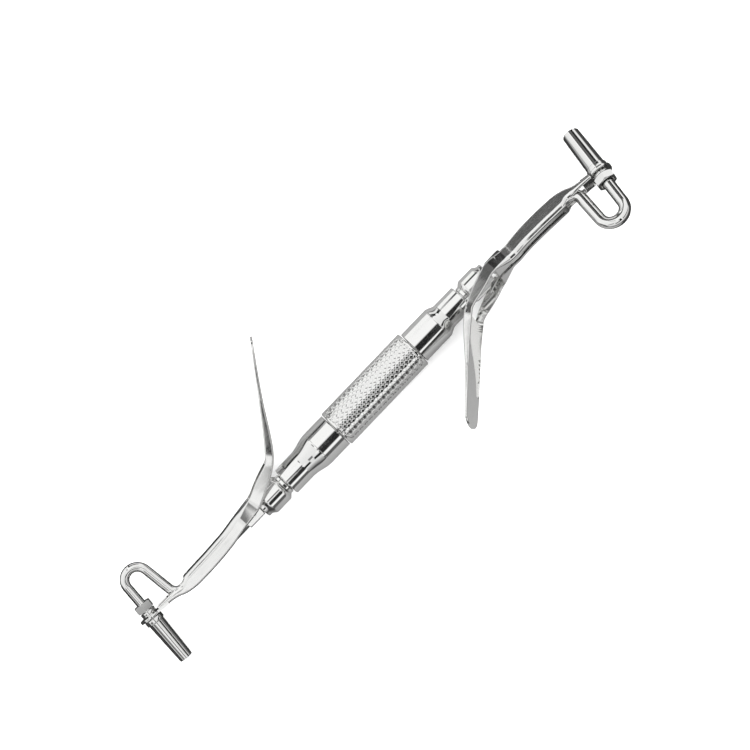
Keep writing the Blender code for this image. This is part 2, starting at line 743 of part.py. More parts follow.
def make_end(name, root, looks):
    """One working end, in its end frame."""
    end = ENDS[name]
    end["stack"] = stack_height(end)
    roll = resting_roll(end)
    facing = Matrix.Rotation(-roll if end["turn"] == 0.0 else roll, 4, "X") @ Matrix.Rotation(end["turn"], 4, "Z")
    frame = add_empty("end_frame_" + name, root)
    frame.matrix_local = facing
    along_x(turned("ferrule_" + name, ferrule_profile(end), frame, looks["polished"], closed=True))
    along_x(turned("collar_" + name, collar_profile(end), frame, looks["polished"]))
    make_rod(name, end, frame, looks["polished"])
    wire("return_spring_" + name, spring_path(), SPRING_WIRE_RADIUS, frame, looks["steel"], resolution=1)

    pivot = add_empty("lever_pivot_" + name, frame, (PIVOT[0] * MM, PIVOT[1] * MM, 0.0), (0.0, 0.0, -end["closed"]))
    lever_frame = add_empty("lever_frame_" + name, pivot, (-PIVOT[0] * MM, -PIVOT[1] * MM, 0.0))
    make_lever(name, end, lever_frame, looks["satin"])
    reach = [(*PIVOT, -3.55), (*PIVOT, 3.55)]
    cylinder("pivot_pin_" + name, PIN_RADIUS, *reach, lever_frame, looks["steel"], segments=SMALL_SEGMENTS)
    make_barrel_group(name, end, lever_frame, looks)

    plunger_end = end["barrel_length"] - plunger_stroke(end) - 0.1
    radius = end["rod_radius"]
    profile = [
        (0.0, plunger_end),
        (radius - 0.15, plunger_end),
        (radius, plunger_end - 0.15),
        (radius, -end["stack"] - LIMB_TAIL_OUT),
        (0.0, -end["stack"] - LIMB_TAIL_OUT),
    ]
    along_barrel(turned("plunger_" + name, profile, lever_frame, looks["polished"], segments=20), end)


def stand_on_origin(root):
    """Move the whole object so that its bounding box stands centred on the origin."""
    bpy.context.view_layer.update()
    graph = bpy.context.evaluated_depsgraph_get()
    low = Vector((1e9, 1e9, 1e9))
    high = -low
    for obj in bpy.data.collections[COLLECTION].objects:
        if obj.type == "EMPTY":
            continue
        evaluated = obj.evaluated_get(graph)
        mesh = evaluated.to_mesh()
        for vertex in mesh.vertices:
            point = evaluated.matrix_world @ vertex.co
            low = Vector(map(min, low, point))
            high = Vector(map(max, high, point))
        evaluated.to_mesh_clear()
    root.location = (-0.5 * (low.x + high.x), -0.5 * (low.y + high.y), -low.z)


def main():
    clear_scene()
    looks = {
        "polished": material("polished_steel", (0.80, 0.80, 0.80), 0.10),
        "satin": material("satin_steel", (0.72, 0.72, 0.72), 0.28),
        "knurled": material("knurled_steel", (0.70, 0.70, 0.69), 0.30),
        "steel": material("plain_steel", (0.62, 0.62, 0.62), 0.35),
    }
    root = add_empty("handle_frame")
    make_handle(root, looks)
    for name in ENDS:
        make_end(name, root, looks)
    stand_on_origin(root)


main()
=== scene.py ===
import json
import math
from collections import namedtuple

import bmesh
import bpy
from mathutils import Matrix, Vector


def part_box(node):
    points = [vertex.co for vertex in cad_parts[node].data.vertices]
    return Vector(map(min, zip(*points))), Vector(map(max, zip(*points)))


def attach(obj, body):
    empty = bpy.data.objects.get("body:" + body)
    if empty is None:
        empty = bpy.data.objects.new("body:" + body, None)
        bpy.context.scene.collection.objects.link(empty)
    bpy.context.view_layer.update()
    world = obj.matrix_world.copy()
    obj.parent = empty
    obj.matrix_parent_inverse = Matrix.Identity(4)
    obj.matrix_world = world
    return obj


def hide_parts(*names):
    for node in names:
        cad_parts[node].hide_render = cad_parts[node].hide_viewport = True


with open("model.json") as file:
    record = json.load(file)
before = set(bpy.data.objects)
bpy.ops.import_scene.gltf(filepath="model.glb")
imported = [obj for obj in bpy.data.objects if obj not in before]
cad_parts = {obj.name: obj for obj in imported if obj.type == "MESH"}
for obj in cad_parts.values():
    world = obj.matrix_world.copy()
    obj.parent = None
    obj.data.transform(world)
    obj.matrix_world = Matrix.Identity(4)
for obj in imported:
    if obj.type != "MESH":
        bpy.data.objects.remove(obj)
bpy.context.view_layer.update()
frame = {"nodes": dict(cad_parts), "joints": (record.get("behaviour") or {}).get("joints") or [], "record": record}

Station = namedtuple("Station", "x y slope depth width")

MM = 0.001

# Segments round a full turn, for thick pieces, thin pieces and small holes.
ROUND = 112
THIN_ROUND = 64
HOLE_ROUND = 48

# Turned profiles: a point nearer than ON_AXIS is on the axis, a corner with a cosine under STRAIGHT stays
# as it is, and a rounding takes up at most CORNER_SHARE of a side.
ON_AXIS = 1e-6
STRAIGHT = -0.985
CORNER_SHARE = 0.45

# Edges after boolean cuts: points closer than WELD_DISTANCE are joined, and edges that turn by more than
# SOFTEN_FROM are bevelled.
WELD_DISTANCE = 0.004
SOFTEN_FROM = math.radians(42.0)
SOFTEN_SEGMENTS = 2

# Handle. The grip's rim is given by drop below its radius and distance in from its end. A face of the
# knurl stays whole where its opposite corners differ by less than LEVEL in radius.
GRIP_RADIUS = 5.3
GRIP_HALF_LENGTH = 13.9
GRIP_RIM = ((0.25, 0.0), (0.05, 0.16), (0.0, 0.3))
LEVEL = 1e-5
KNURL_PITCH = 1.7
KNURL_COUNT = 27
KNURL_DEPTH = 0.1
KNURL_FLAT = 0.5
KNURL_STEPS = 8
KNURL_MARGIN = 0.35
KNURL_FADE = 0.5
CORE_RADIUS = 2.4
CORE_HALF_LENGTH = 26.0
CORE_ROUNDING = 0.25
GAP = 0.3
FERRULE_RADIUS = 4.8
FERRULE_TIP_RADIUS = 3.84
FERRULE_START = 14.2
FERRULE_TIP_ROUNDING = 0.32
FERRULE_EDGE_ROUNDING = 0.12
SHOULDER_STEPS = 28
SCRIBE_BEHIND = 0.06
SCRIBE_HALF_WIDTH = 0.07
SCRIBE_DEPTH = 0.05
COLLAR_NECK_RADIUS = 2.78
COLLAR_RADIUS = 3.68
COLLAR_STEP_RADIUS = 2.85
COLLAR_START = 1.15
COLLAR_END = 7.9
COLLAR_FRONT = 9.0
COLLAR_CHAMFER = 1.0
COLLAR_ROUNDING = 0.3
SOCKET_RADIUS = 1.6
SOCKET_DEPTH = 4.7

# Pivot, boss and rod. The cutters for the boss go past it by CUT_MARGIN and reach out to CUT_REACH.
PIVOT = (43.5, -0.75)
PIN_HOLE_RADIUS = 0.95
BOSS_START = 41.45
BOSS_END = 46.4
BOSS_RADIUS = 2.0
BOSS_HALF_WIDTH = 1.5
BOSS_TOP = 1.6
BOSS_ROUNDING = 0.6
CUT_MARGIN = 0.1
CUT_REACH = 4.0
TENON_RADIUS = 1.3
BEND_RADIUS = 3.0
BEND_STEPS = 24
ROD_PAST_PIVOT = 1.4
ROD_STRAIGHT = (50.0, 58.0)
LOOP_FIRST_RADIUS = 3.5
LOOP_TRIES = 30
LOOP_STEPS = 56

# Lever sheet. Its corners on the finger side have EDGE_RADIUS up to FOLD_FROM and FOLD_RADIUS from
# FOLD_FULL on. An end's extra width and depth grow over the first part of the arm.
WALL = 0.55
STRAP_THICKNESS = 0.65
STRAP_START = 73.9
STRAP_HALF_WIDTH = 2.38
EYE_RADIUS = 3.25
EYE_HEIGHT = -1.25
EYE_STEPS = 64
BARREL_LEAN = math.radians(6.8)
PLATE_TIP = (11.6, -31.3)
PLATE_ROOT = (31.4, -5.25)
SLOT_START = 42.6
SLOT_END = 66.2
SLOT_HALF_WIDTH = 0.65
SLOT_STEPS = 16
SLOT_CUT_DEPTH = 3.0
SLOT_CUT_HEIGHT = -3.4
EYE_CUT = 3.0
OUTER_SCALE_FROM = 46.75
OPENING_MARGIN = 3.0
INSIDE_OVERRUN = 1.5
SHEET_CORNER = 0.5
CORNER_OF_DEPTH = 0.42
FOLD_OF_DEPTH = 0.5
FOLD_RADIUS = 1.5
EDGE_RADIUS = 0.25
FOLD_FROM = 41.5
FOLD_FULL = 46.5
FOLD_STEPS = 7
EDGE_SOFTENING = 0.07
EXTRA_GROWS_OVER = 2.0
EXTRA_DEPTH_UNTIL = 72.0
EXTRA_DEPTH_FADE = 4.0
RUN_SAMPLES = 4
TIP_ANGLES = range(10, 90, 8)

# The lever's run from the plate to the strap, one Station a row: distance out, height of the handle-side
# face, slope in degrees, depth of the folded sides and half-width.
LEVER_RUN = (
    (13.6, -28.7, 52.0, 0.66, 4.35),
    (17.5, -23.5, 53.0, 0.88, 4.6),
    (20.0, -20.1, 54.5, 1.0, 4.62),
    (22.5, -16.5, 55.8, 1.32, 4.62),
    (25.0, -12.7, 55.5, 1.72, 4.64),
    (27.5, -9.15, 53.0, 2.1, 4.68),
    (29.1, -7.25, 47.0, 2.2, 4.72),
    (30.2, -6.2, 42.5, 2.05, 4.68),
    (31.4, -5.25, 38.5, 2.3, 4.65),
    (33.0, -4.3, 33.0, 2.7, 4.65),
    (35.2, -3.15, 27.5, 3.1, 4.65),
    (37.5, -2.05, 21.0, 3.3, 4.65),
    (40.0, -0.95, 14.0, 3.4, 4.6),
    (42.0, -0.3, 6.0, 3.65, 4.3),
    (44.5, 0.1, 2.0, 3.9, 3.3),
    (46.5, 0.35, 0.0, 4.02, 2.55),
    (48.7, 0.7, 0.0, 4.12, 2.32),
    (52.5, 1.3, 0.0, 4.22, 2.3),
    (56.2, 1.62, 0.0, 4.35, 2.3),
    (61.2, 1.82, 0.0, 4.38, 2.3),
    (64.5, 1.82, 0.0, 4.32, 2.3),
    (66.5, 1.68, 0.0, 4.12, 2.3),
    (68.0, 1.42, 0.0, 3.3, 2.3),
    (69.5, 0.98, 0.0, 2.8, 2.3),
    (71.0, 0.3, 0.0, 2.15, 2.32),
    (72.6, -0.12, 0.0, 1.7, 2.33),
    (75.0, -0.45, 0.0, 1.38, 2.33),
    (76.7, -0.65, 0.0, 1.2, 2.33),
)

# Inside of the folded sheet, from the plate to the strap: start, stop, wall left on the handle side,
# wall left on the finger side.
INSIDE_STRETCHES = (
    (17.2, 29.8, WALL, 0.0),
    (29.82, 41.5, 0.0, 0.0),
    (41.52, 67.0, 0.0, WALL),
    (67.02, 74.0, 0.0, 0.0),
    (74.02, 77.2, 0.35, 0.0),
)

# What differs between the two ends. Girth scales the handle's radii, shoulder is where the ferrule's
# ogee starts and stops, closed turns the lever about its pivot, reach scales the arm beyond the boss, and
# extra_width and extra_depth make the arm stouter there.
ENDS = {
    "large": {
        "girth": 0.96,
        "ferrule_end": 31.5,
        "shoulder": (22.6, 25.4),
        "plate_turn": math.radians(2.5),
        "plate_stretch": 0.965,
        "closed": math.radians(4.5),
        "reach": 0.95,
        "rod_radius": 1.55,
        "inner_limb": 70.1,
        "limb_lean": math.radians(-3.3),
        "loop_depth": 13.4,
        "eye": 77.85,
        "extra_width": 0.22,
        "extra_depth": 0.25,
        "barrel_length": 14.1,
        "barrel_base": 2.55,
        "barrel_mouth": 2.3,
        "flange_radius": 2.8,
        "flange_height": 1.25,
        "washer_radius": 2.25,
        "washer_height": 0.6,
        "nut_across": 5.0,
        "nut_height": 2.0,
    },
    "small": {
        "girth": 1.035,
        "ferrule_end": 32.1,
        "shoulder": (20.6, 26.4),
        "plate_turn": 0.0,
        "plate_stretch": 1.0,
        "closed": 0.0,
        "reach": 1.0,
        "rod_radius": 1.25,
        "inner_limb": 71.6,
        "limb_lean": math.radians(4.4),
        "loop_depth": 11.95,
        "eye": 79.6,
        "extra_width": 0.0,
        "extra_depth": 0.0,
        "barrel_length": 13.7,
        "barrel_base": 2.15,
        "barrel_mouth": 1.8,
        "flange_radius": 2.5,
        "flange_height": 1.25,
        "washer_radius": 2.05,
        "washer_height": 1.0,
        "nut_across": 4.3,
        "nut_height": 2.0,
    },
}

# Barrel, washer, nut and plunger.
LIMB_INTO_NUT = 1.6
BARREL_ROUNDING = 0.16
WASHER_ROUNDING = 0.12
NUT_CHAMFER = 0.2
NUT_CROWN_EXTRA = 0.02
NUT_SOFTENING = 0.06
THREAD_CLEARANCE = 0.5
THREAD_OVERRUN = 1.0
PLUNGER_INSET = 0.4
PLUNGER_ROUNDING = 0.15
PLUNGER_SHORT = 0.1
LEVER_TRAVEL = math.radians(5.0)

# Return spring. The short leg is given by distances past the pivot, the long one, under the collar, by
# distance out, height and distance past the coil.
SPRING_WIRE_RADIUS = 0.2
SPRING_COIL_RADIUS = 1.2
SPRING_COIL_START = -1.75
SPRING_COIL_PITCH = 0.6
SPRING_COIL_STEPS = 48
WIRE_RESOLUTION = 4
WIRE_WELD_DISTANCE = 1e-3
SPRING_SHORT_LEG = (1.5, 0.7)
SPRING_LONG_LEG = ((42.4, -2.05, 0.0), (41.2, -2.35, -0.05), (38.4, -3.2, -0.1), (37.4, -3.6, -0.1))

# Steels: base colour, roughness and how much it varies, scale and stretch of the fine lines, bump. The
# roughness follows fine lines times broad noise, over the part of that product given by NOISE_SPAN.
STEELS = {
    "polished_steel": ((0.83, 0.83, 0.82), 0.07, 0.03, 900.0, (0.15, 1.0, 1.0), 0.012),
    "satin_steel": ((0.82, 0.82, 0.81), 0.11, 0.03, 1400.0, (0.1, 1.0, 1.0), 0.015),
    "knurled_steel": ((0.82, 0.82, 0.81), 0.06, 0.02, 1200.0, (1.0, 1.0, 1.0), 0.01),
    "plain_steel": ((0.66, 0.66, 0.65), 0.3, 0.08, 1000.0, (0.2, 1.0, 1.0), 0.2),
}
LINES_DETAIL = 3.0
LINES_HEIGHT = 0.00002
BROAD_SCALE = 260.0
BROAD_DETAIL = 4.0
NOISE_SPAN = (0.1, 0.45)

# Studio light by angle about the handle in degrees: 0 is at the camera, positive towards +Y. The first
# list is what lies close to the plane across the handle, the second what lies further out along it. The
# second takes over across OUTER_FROM and the dark sides across SIDES_FROM, both as directions along the
# handle.
FILL_STRENGTH = 2.4
STUDIO_MIDDLE = (
    (-180.0, 0.5),
    (-85.0, 0.12),
    (-60.0, 0.10),
    (-55.0, 1.1),
    (-43.0, 1.1),
    (-38.0, 0.015),
    (-2.0, 0.015),
    (6.0, 1.1),
    (106.0, 1.1),
    (118.0, 0.22),
    (180.0, 0.5),
)
STUDIO_OUTER = (
    (-180.0, 0.08),
    (-78.0, 0.04),
    (-62.0, 0.4),
    (-45.0, 0.85),
    (10.0, 0.95),
    (60.0, 1.05),
    (95.0, 0.9),
    (112.0, 0.06),
    (180.0, 0.08),
)
OUTER_FROM = (0.085, 0.125)
SIDES_FROM = (0.88, 0.97)
SIDES_LIGHT = 0.02

# Flags and small lights: angle from and to, direction along the handle from and to, brightness. All
# have the same soft edge, given for the angle and for the direction.
PATCHES = (
    (-16.0, -5.0, -0.34, -0.052, 1.05),
    (52.0, 69.0, 0.046, 0.22, 0.03),
    (48.0, 110.0, 0.08, 0.2, 0.1),
    (52.0, 80.0, 0.19, 0.5, 0.12),
    (55.0, 80.0, 0.48, 0.74, 0.012),
    (-38.0, -21.0, -0.5, -0.052, 0.02),
    (-38.0, -22.0, 0.15, 0.9, 0.03),
    (-56.0, 14.0, 0.074, 0.16, 1.0),
    (-18.0, -2.0, -0.86, -0.5, 0.2),
    (23.0, 46.0, -0.14, -0.08, 0.04),
    (70.0, 128.0, -0.075, -0.02, 0.15),
)
PATCH_EDGE = (2.0, 0.006)

# Floor: its tone, and the painted reflection of it in the steel, a colour for glossy rays only, near FLOOR_MIDDLE
# and further out along the handle.
FLOOR_HALF_SIZE = 4.0
FLOOR_ROUGHNESS = 0.7
FLOOR_SPECULAR = 0.1
FLOOR_TONE = 0.93
FLOOR_PAINTED_REFLECTION = (0.22, 0.02)
FLOOR_PAINTED_REFLECTION_CHANGE = (0.045, 0.062)
FLOOR_MIDDLE = 0.01

# Camera: looks straight down on the handle from a little towards -Y, turned about its own axis.
VIEW_TURN = math.radians(46.3)
VIEW_TILT = math.radians(11.5)
VIEW_DISTANCE = 0.55
VIEW_WIDTH = 0.1875
VIEW_SHIFT = (0.00013, 0.01853)
SENSOR_WIDTH = 36.0
CLIP_START = 0.01


def material(name, colour, roughness, variation, grain, stretch, bump):
    """Bare steel: uneven polish from broad noise, and fine drawn or rubbed lines as roughness and bump."""
    made = bpy.data.materials.new(name)
    made.use_nodes = True
    nodes = made.node_tree.nodes
    links = made.node_tree.links
    shader = nodes["Principled BSDF"]
    shader.inputs["Base Color"].default_value = (*colour, 1.0)
    shader.inputs["Metallic"].default_value = 1.0
    place = nodes.new("ShaderNodeTexCoord")
    lines_map = nodes.new("ShaderNodeMapping")
    lines_map.inputs["Scale"].default_value = stretch
    lines = nodes.new("ShaderNodeTexNoise")
    lines.inputs["Scale"].default_value = grain
    lines.inputs["Detail"].default_value = LINES_DETAIL
    broad = nodes.new("ShaderNodeTexNoise")
    broad.inputs["Scale"].default_value = BROAD_SCALE
    broad.inputs["Detail"].default_value = BROAD_DETAIL
    links.new(place.outputs["Object"], lines_map.inputs["Vector"])
    links.new(lines_map.outputs["Vector"], lines.inputs["Vector"])
    links.new(place.outputs["Object"], broad.inputs["Vector"])
    mixed = nodes.new("ShaderNodeMath")
    mixed.operation = "MULTIPLY"
    links.new(lines.outputs["Fac"], mixed.inputs[0])
    links.new(broad.outputs["Fac"], mixed.inputs[1])
    spread = nodes.new("ShaderNodeMapRange")
    spread.inputs["From Min"].default_value = NOISE_SPAN[0]
    spread.inputs["From Max"].default_value = NOISE_SPAN[1]
    spread.inputs["To Min"].default_value = roughness - variation
    spread.inputs["To Max"].default_value = roughness + variation
    links.new(mixed.outputs["Value"], spread.inputs["Value"])
    links.new(spread.outputs["Result"], shader.inputs["Roughness"])
    relief = nodes.new("ShaderNodeBump")
    relief.inputs["Strength"].default_value = bump
    relief.inputs["Distance"].default_value = LINES_HEIGHT
    links.new(lines.outputs["Fac"], relief.inputs["Height"])
    links.new(relief.outputs["Normal"], shader.inputs["Normal"])
    return made


LOOKS = {slot: material(slot + "_fine", *values) for slot, values in STEELS.items()}
LAY_ALONG_X = Matrix.Rotation(math.pi / 2.0, 4, "Y")


def end_frame(name):
    """Matrix from an end's millimetres to the shared frame, from its hinge and the grip's centre."""
    joints = {joint["name"]: joint for joint in frame["joints"]}
    low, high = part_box("grip_sleeve")
    outward_axis = Vector((1.0 if name == "large" else -1.0, 0.0, 0.0))
    pivot_axis = -Vector(joints["lever_hinge_" + name]["axis"]).normalized()
    barrel_side = pivot_axis.cross(outward_axis)
    facing = Matrix((outward_axis, barrel_side, pivot_axis)).transposed().to_4x4()
    return Matrix.Translation((low + high) * 0.5) @ facing @ Matrix.Scale(MM, 4)


def lever_frame(name):
    """The end frame turned about the pivot to where the lever rests."""
    to_pivot = Matrix.Translation((*PIVOT, 0.0))
    closed = Matrix.Rotation(-ENDS[name]["closed"], 4, "Z")
    return end_frame(name) @ to_pivot @ closed @ to_pivot.inverted()


def z_along(direction):
    """Rotation that lays the z axis along a direction."""
    return direction.to_track_quat("Z", "X").to_matrix().to_4x4()


def barrel_frame(name):
    """The lever frame with its z axis along the barrel and its origin at the eye."""
    eye, toward_mouth = barrel_line(ENDS[name])
    return lever_frame(name) @ Matrix.Translation(eye) @ z_along(toward_mouth)


def add_object(name, data):
    """New object in the scene for a mesh, curve or camera."""
    made = bpy.data.objects.new(name, data)
    bpy.context.scene.collection.objects.link(made)
    return made


def finished_mesh(holder):
    """New mesh of an object as its modifiers leave it."""
    bpy.context.view_layer.update()
    graph = bpy.context.evaluated_depsgraph_get()
    return bpy.data.meshes.new_from_object(holder.evaluated_get(graph))


def weighed(mesh):
    """Copy of a mesh shaded by its larger faces, so long stretches stay straight beside small roundings."""
    holder = add_object("working", mesh)
    holder.modifiers.new("weigh", "WEIGHTED_NORMAL").keep_sharp = True
    result = finished_mesh(holder)
    bpy.data.objects.remove(holder, do_unlink=True)
    return result


def add_piece(name, shape, matrix, body, slot, node, sharp=28.0):
    """Turn a bmesh in millimetres into a piece that rides a body and stands for a CAD node."""
    bmesh.ops.recalc_face_normals(shape, faces=shape.faces)
    mesh = bpy.data.meshes.new(name)
    shape.to_mesh(mesh)
    shape.free()
    mesh.transform(matrix)
    for face in mesh.polygons:
        face.use_smooth = True
    mesh.set_sharp_from_angle(angle=math.radians(sharp))
    mesh.materials.append(LOOKS[slot])
    piece = add_object(name, weighed(mesh))
    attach(piece, body)
    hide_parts(node)
    return piece


def turned(profile, segments=ROUND, closed=True):
    """Solid of revolution about z from (radius, height) points; a profile that ends on the axis is open."""
    shape = bmesh.new()
    rows = []
    for radius, height in profile:
        if radius < ON_AXIS:
            rows.append([shape.verts.new((0.0, 0.0, height))])
            continue
        row = []
        for i in range(segments):
            angle = 2.0 * math.pi * i / segments
            row.append(shape.verts.new((radius * math.cos(angle), radius * math.sin(angle), height)))
        rows.append(row)
    pairs = list(zip(rows, rows[1:]))
    if closed:
        pairs.append((rows[-1], rows[0]))
    for first, second in pairs:
        for i in range(segments):
            k = (i + 1) % segments
            corners = [first[i % len(first)], first[k % len(first)]]
            corners += [second[k % len(second)], second[i % len(second)]]
            kept = [v for n, v in enumerate(corners) if v not in corners[:n]]
            if len(kept) > 2:
                shape.faces.new(kept)
    return shape


def rounded(profile, radius, steps=4, closed=True):
    """Replace each corner of a profile by a short arc, leaving points on the axis alone."""
    count = len(profile)
    result = []
    for i, point in enumerate(profile):
        at_end = not closed and i in (0, count - 1)
        here = Vector(point)
        before = Vector(profile[i - 1]) - here
        after = Vector(profile[(i + 1) % count]) - here
        if at_end or min(here.x, before.length, after.length) < ON_AXIS:
            result.append(tuple(point))
            continue
        into = before.normalized()
        out = after.normalized()
        if into.dot(out) < STRAIGHT:
            result.append(tuple(point))
            continue
        cut = min(radius, CORNER_SHARE * before.length, CORNER_SHARE * after.length)
        for step in range(steps + 1):
            t = step / steps
            a = here + into * cut
            b = here + out * cut
            result.append(tuple(a * (1 - t) ** 2 + here * (2 * t * (1 - t)) + b * t**2))
    return result


def loft(rings):
    """Join rings of equal point counts into one closed solid with flat ends."""
    shape = bmesh.new()
    rows = [[shape.verts.new(point) for point in ring] for ring in rings]
    count = len(rows[0])
    for first, second in zip(rows, rows[1:]):
        for i in range(count):
            k = (i + 1) % count
            shape.faces.new((first[i], first[k], second[k], second[i]))
    shape.faces.new(list(reversed(rows[0])))
    shape.faces.new(rows[-1])
    bmesh.ops.recalc_face_normals(shape, faces=shape.faces)
    return shape


def ring_about(centre, direction, radius):
    """Ring of points in the plane across a direction that lies in the x-y plane."""
    side = Vector((-direction.y, direction.x, 0.0))
    points = []
    for i in range(THIN_ROUND):
        angle = 2.0 * math.pi * i / THIN_ROUND
        above = Vector((0.0, 0.0, radius * math.sin(angle)))
        points.append(centre + side * (radius * math.cos(angle)) + above)
    return points


def swept(path, radius):
    """Round rod along points that lie in the x-y plane."""
    points = [Vector((*point, 0.0)) for point in path]
    rings = []
    for i, point in enumerate(points):
        before = points[max(0, i - 1)]
        after = points[min(len(points) - 1, i + 1)]
        incoming = (point - before).normalized() if i else (after - point).normalized()
        leaving = (after - point).normalized() if i < len(points) - 1 else incoming
        direction = (incoming + leaving).normalized()
        rings.append(ring_about(point, direction, radius))
    return loft(rings)


def cylinder(radius, start, end, segments):
    """Cylinder between two points."""
    start = Vector(start)
    direction = Vector(end) - start
    profile = [(0.0, 0.0), (radius, 0.0), (radius, direction.length), (0.0, direction.length)]
    shape = turned(profile, segments, closed=False)
    shape.transform(Matrix.Translation(start) @ z_along(direction))
    bmesh.ops.recalc_face_normals(shape, faces=shape.faces)
    return shape


def box(low, high):
    """Box between two corners."""
    shape = bmesh.new()
    bmesh.ops.create_cube(shape, size=1.0)
    low = Vector(low)
    high = Vector(high)
    bmesh.ops.scale(shape, vec=high - low, verts=shape.verts)
    bmesh.ops.translate(shape, vec=(low + high) * 0.5, verts=shape.verts)
    return shape


def slab(outline, thickness):
    """Flat outline in x and y, thickened both ways along z."""
    low = [Vector((x, y, -0.5 * thickness)) for x, y in outline]
    high = [Vector((x, y, 0.5 * thickness)) for x, y in outline]
    return loft([low, high])


def combine(shape, tools, softening=0.0):
    """Apply boolean tools, given as (operation, bmesh), then soften the sharp edges a little."""
    holders = []
    for _, tool in [("BASE", shape), *tools]:
        mesh = bpy.data.meshes.new("working")
        tool.to_mesh(mesh)
        tool.free()
        holders.append(add_object("working", mesh))
    base = holders[0]
    for (operation, _), holder in zip(tools, holders[1:]):
        step = base.modifiers.new("step", "BOOLEAN")
        step.operation = operation
        step.solver = "EXACT"
        step.object = holder
    if softening:
        weld = base.modifiers.new("weld", "WELD")
        weld.merge_threshold = WELD_DISTANCE
        soft = base.modifiers.new("soft", "BEVEL")
        soft.width = softening
        soft.segments = SOFTEN_SEGMENTS
        soft.limit_method = "ANGLE"
        soft.angle_limit = SOFTEN_FROM
        soft.miter_outer = "MITER_ARC"
        soft.use_clamp_overlap = True
    result = bmesh.new()
    result.from_mesh(finished_mesh(base))
    for holder in holders:
        bpy.data.objects.remove(holder, do_unlink=True)
    return result


def arc(centre, radius, start, end, count):
    """Points on an arc in the x-y plane, angles in degrees."""
    points = []
    for i in range(count + 1):
        angle = math.radians(start + (end - start) * i / count)
        points.append((centre[0] + radius * math.cos(angle), centre[1] + radius * math.sin(angle)))
    return points


def rest_point(end, point):
    """Turn a point of the open lever frame to where this end's lever rests."""
    angle = -end["closed"]
    dx = point[0] - PIVOT[0]
    dy = point[1] - PIVOT[1]
    x = PIVOT[0] + dx * math.cos(angle) - dy * math.sin(angle)
    y = PIVOT[1] + dx * math.sin(angle) + dy * math.cos(angle)
    return (x, y)


def barrel_line(end):
    """The eye's centre and the unit vector towards the barrel's mouth, in the open lever frame."""
    return Vector((end["eye"], EYE_HEIGHT, 0.0)), Vector((math.sin(BARREL_LEAN), math.cos(BARREL_LEAN), 0.0))


def stack_height(end):
    """Distance from the strap's middle to the free face of the nut."""
    return 0.5 * STRAP_THICKNESS + 2.0 * GAP + end["washer_height"] + end["nut_height"]


def make_grip():
    """Sleeve with a diamond knurl: flat-topped pyramids between two sets of crossing helical grooves."""
    bore = CORE_RADIUS + GAP
    half = GRIP_HALF_LENGTH
    columns = KNURL_COUNT * KNURL_STEPS
    rows = int(round(2.0 * (half - KNURL_MARGIN) / KNURL_PITCH)) * KNURL_STEPS
    shape = bmesh.new()

    def ring(radius_at, height):
        points = []
        for i in range(columns):
            angle = 2.0 * math.pi * i / columns
            radius = radius_at(i)
            points.append(shape.verts.new((radius * math.cos(angle), radius * math.sin(angle), height)))
        return points

    def knurled(row):
        def radius_at(column):
            first = (column + row) / KNURL_STEPS
            second = (column - row) / KNURL_STEPS
            nearest = min(abs(first - round(first)), abs(second - round(second)))
            rise = min(1.0, nearest / (0.5 - 0.5 * KNURL_FLAT))
            ends = min(1.0, min(row, rows - row) / KNURL_STEPS / KNURL_FADE)
            return GRIP_RADIUS - KNURL_DEPTH * (1.0 - rise) * ends
        return radius_at

    plain = [(GRIP_RADIUS - drop, inward - half) for drop, inward in GRIP_RIM]
    rings = [ring(lambda _: bore, -half)]
    for radius, height in plain:
        rings.append(ring(lambda _, r=radius: r, height))
    for row in range(rows + 1):
        height = -half + KNURL_MARGIN + 2.0 * (half - KNURL_MARGIN) * row / rows
        rings.append(ring(knurled(row), height))
    for radius, height in reversed(plain):
        rings.append(ring(lambda _, r=radius: r, -height))
    rings.append(ring(lambda _: bore, half))
    rings.append(rings[0])
    for first, second in zip(rings, rings[1:]):
        for i in range(columns):
            k = (i + 1) % columns
            a, b, c, d = first[i], first[k], second[k], second[i]
            rise_ac = abs(a.co.xy.length - c.co.xy.length)
            rise_bd = abs(b.co.xy.length - d.co.xy.length)
            length = abs(a.co.z - d.co.z)
            if max(rise_ac, rise_bd) < LEVEL or length < ON_AXIS or length > KNURL_PITCH:
                shape.faces.new((a, b, c, d))
            elif rise_ac < rise_bd:
                shape.faces.new((a, b, c))
                shape.faces.new((a, c, d))
            else:
                shape.faces.new((a, b, d))
                shape.faces.new((b, c, d))
    matrix = end_frame("large") @ LAY_ALONG_X
    add_piece("grip_knurled", shape, matrix, "handle", "knurled_steel", "grip_sleeve", sharp=14.0)


def make_core():
    """Plain rod that runs through the grip and joins the two ferrules."""
    end = CORE_HALF_LENGTH
    profile = [(0.0, end), (CORE_RADIUS, end), (CORE_RADIUS, -end), (0.0, -end)]
    shape = turned(rounded(profile, CORE_ROUNDING, closed=False), THIN_ROUND, closed=False)
    add_piece("core_rod", shape, end_frame("large") @ LAY_ALONG_X, "handle", "plain_steel", "handle_core")


